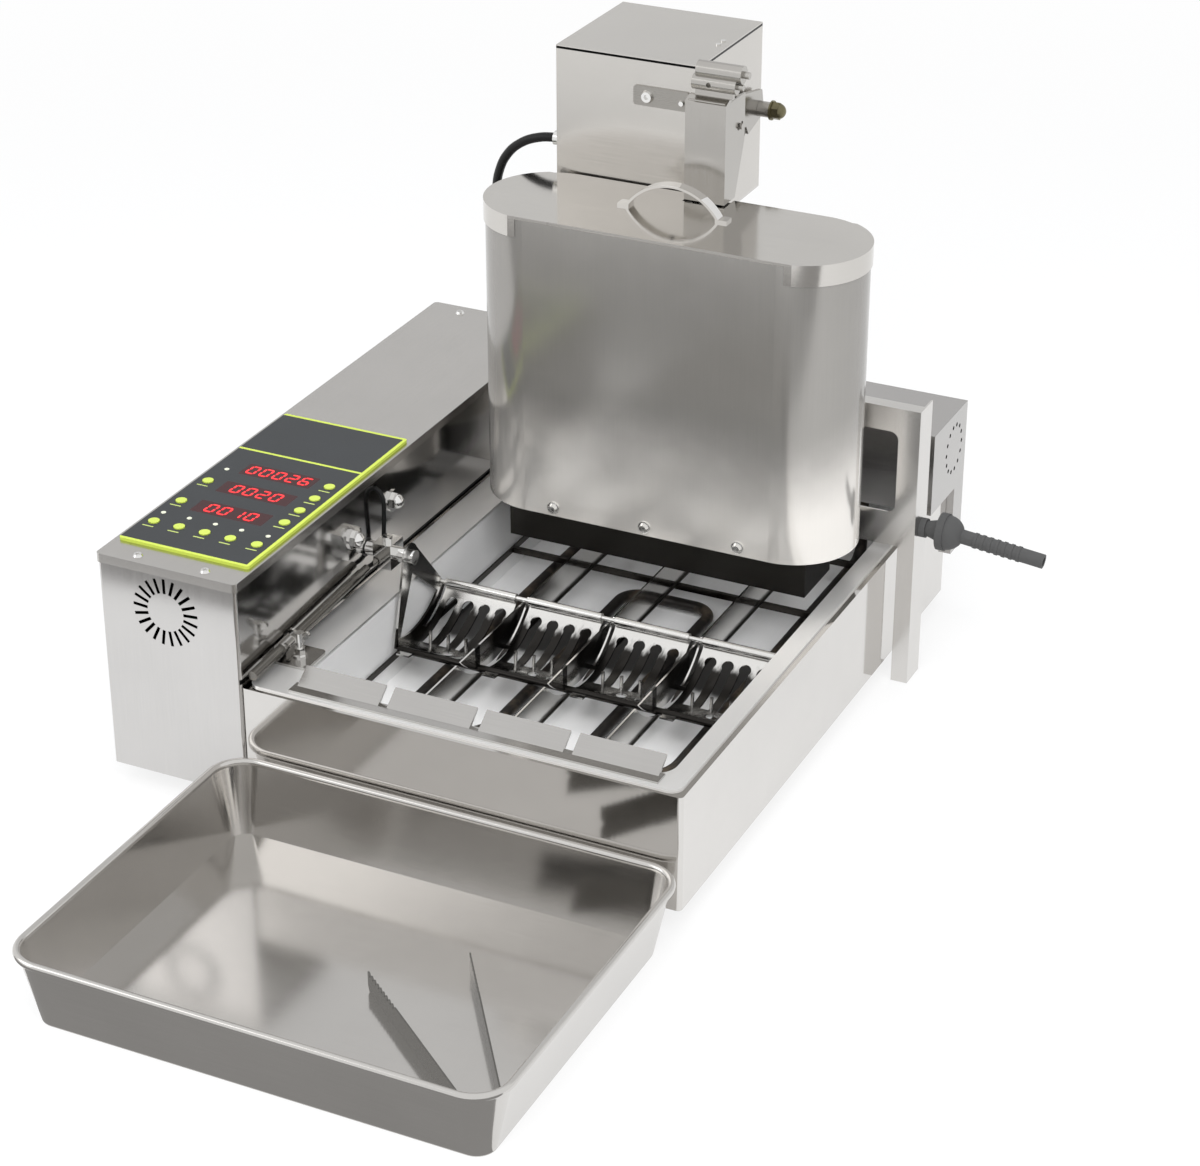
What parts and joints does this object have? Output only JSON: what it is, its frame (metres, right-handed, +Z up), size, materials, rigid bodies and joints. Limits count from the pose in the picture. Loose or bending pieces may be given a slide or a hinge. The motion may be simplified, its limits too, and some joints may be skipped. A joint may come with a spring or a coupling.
{
  "type": "donut fryer",
  "caption": "Table-top donut fryer: open oil tank with lanes and a slotted turner, dosing hopper on a stand, control box with keypad, and a collecting tray in front.",
  "frame": {"origin": "middle of the footprint on the table", "axes": "+Z up, +Y from the collecting tray in front to the heater head at the back, +X from the control box to the tank"},
  "size_m": [0.4946, 0.711, 0.4148],
  "materials": {
    "steel_polished": "polished",
    "steel_brushed": "brushed",
    "steel_bright": "bright",
    "painted": "satin",
    "overlay": "matte",
    "key": "matte",
    "window": "gloss",
    "light": "gloss",
    "board": "matte",
    "motor": "satin",
    "black_rubber": "matte",
    "black_plastic": "matte",
    "element": "oxidised",
    "brass": "dull",
    "plunger": "satin"
  },
  "bodies": {
    "machine": {"tank_casing": "steel_polished", "basin": "steel_polished", "feet": "black_rubber", "control_housing": "painted", "control_cover": "steel_brushed", "control_base": "steel_brushed", "cover_screws": "steel_bright", "panel_overlay": "overlay", "digit_windows": "window", "indicator_lights": "light", "control_board": "board", "turner_motor": "motor", "dome_nuts": "steel_bright", "probe_rod": "steel_brushed", "probe_lead": "black_rubber", "probe_clamp": "steel_brushed", "lane_frame": "steel_brushed", "exit_slide": "steel_brushed", "heating_element": "element", "stand": "steel_polished", "hopper": "steel_brushed", "nozzles": "steel_bright", "hopper_screws": "steel_bright", "motor_housing": "steel_brushed", "dosing_motor": "motor", "strap": "steel_brushed", "box_screws": "steel_bright", "lever_stud": "steel_brushed", "acorn_nut": "brass", "motor_cable": "black_rubber", "cable_glands": "black_plastic", "heater_head": "steel_polished", "power_gland": "black_plastic"},
    "turner": {"turner_shaft": "steel_bright", "turner_scoops": "steel_brushed", "turner_rod": "steel_bright", "drive_hub": "steel_bright"},
    "dosing": {"plungers": "plunger", "plunger_yoke": "steel_brushed", "lift_rods": "steel_bright", "lift_head": "steel_brushed", "barrel_clamp": "steel_brushed"},
    "lever": {"rocker_lever": "steel_brushed"},
    "lid": {"hopper_lid": "steel_polished", "lid_handle": "steel_bright"},
    "wing": {"wing_bolt": "steel_bright"},
    "tray_body": {"tray": "steel_brushed"},
    "tongs": {"tongs_fixed_arm": "steel_polished"},
    "tong_arm": {"tongs_free_arm": "steel_polished"},
    "key1": {"key_1": "key"},
    "key2": {"key_2": "key"},
    "key3": {"key_3": "key"},
    "key4": {"key_4": "key"},
    "key5": {"key_5": "key"},
    "key6": {"key_6": "key"},
    "key7": {"key_7": "key"},
    "key8": {"key_8": "key"},
    "key9": {"key_9": "key"},
    "key10": {"key_10": "key"},
    "key11": {"key_11": "key"}
  },
  "joints": [
    {"name": "turner_swing", "type": "hinge", "parent": "machine", "child": "turner", "pos_m": [-0.11083, 0.0495, 0.117], "axis": [-1, 0, 0], "range_deg": [0, 180]},
    {"name": "dosing_lift", "type": "slide", "parent": "machine", "child": "dosing", "axis": [0, 0, 1], "range_m": [0, 0.0077]},
    {"name": "lever_rock", "type": "hinge", "parent": "machine", "child": "lever", "pos_m": [0.00667, 0.3155, 0.354], "axis": [-1, 0, 0], "range_deg": [0, 5.8]},
    {"name": "lid_lift", "type": "slide", "parent": "machine", "child": "lid", "axis": [0, 0, 1], "range_m": [0, 0.04]},
    {"name": "wing_turn", "type": "hinge", "parent": "machine", "child": "wing", "pos_m": [-0.13333, -0.0625, 0.098], "axis": [0, 0, 1], "continuous": true},
    {"name": "tray_pull", "type": "slide", "parent": "machine", "child": "tray_body", "axis": [0, -1, 0], "range_m": [0, 0.2]},
    {"name": "tongs_lift", "type": "slide", "parent": "tray_body", "child": "tongs", "axis": [0, 0, 1], "range_m": [0, 0.12]},
    {"name": "tongs_squeeze", "type": "hinge", "parent": "tongs", "child": "tong_arm", "pos_m": [0.12117, -0.3105, 0.007], "axis": [0, 0, 1], "range_deg": [0, 16], "stiffness_Nm_per_rad": 0.3},
    {"name": "key1_press", "type": "slide", "parent": "machine", "child": "key1", "axis": [0, 0, -1], "range_m": [0, 0.0005], "stiffness_N_per_m": 400},
    {"name": "key2_press", "type": "slide", "parent": "machine", "child": "key2", "axis": [0, 0, -1], "range_m": [0, 0.0005], "stiffness_N_per_m": 400},
    {"name": "key3_press", "type": "slide", "parent": "machine", "child": "key3", "axis": [0, 0, -1], "range_m": [0, 0.0005], "stiffness_N_per_m": 400},
    {"name": "key4_press", "type": "slide", "parent": "machine", "child": "key4", "axis": [0, 0, -1], "range_m": [0, 0.0005], "stiffness_N_per_m": 400},
    {"name": "key5_press", "type": "slide", "parent": "machine", "child": "key5", "axis": [0, 0, -1], "range_m": [0, 0.0005], "stiffness_N_per_m": 400},
    {"name": "key6_press", "type": "slide", "parent": "machine", "child": "key6", "axis": [0, 0, -1], "range_m": [0, 0.0005], "stiffness_N_per_m": 400},
    {"name": "key7_press", "type": "slide", "parent": "machine", "child": "key7", "axis": [0, 0, -1], "range_m": [0, 0.0005], "stiffness_N_per_m": 400},
    {"name": "key8_press", "type": "slide", "parent": "machine", "child": "key8", "axis": [0, 0, -1], "range_m": [0, 0.0005], "stiffness_N_per_m": 400},
    {"name": "key9_press", "type": "slide", "parent": "machine", "child": "key9", "axis": [0, 0, -1], "range_m": [0, 0.0005], "stiffness_N_per_m": 400},
    {"name": "key10_press", "type": "slide", "parent": "machine", "child": "key10", "axis": [0, 0, -1], "range_m": [0, 0.0005], "stiffness_N_per_m": 400},
    {"name": "key11_press", "type": "slide", "parent": "machine", "child": "key11", "axis": [0, 0, -1], "range_m": [0, 0.0005], "stiffness_N_per_m": 400}
  ],
  "couplings": [
    {"joint": "lever_rock", "follows": "dosing_lift", "rad_per_m": 12.78}
  ]
}
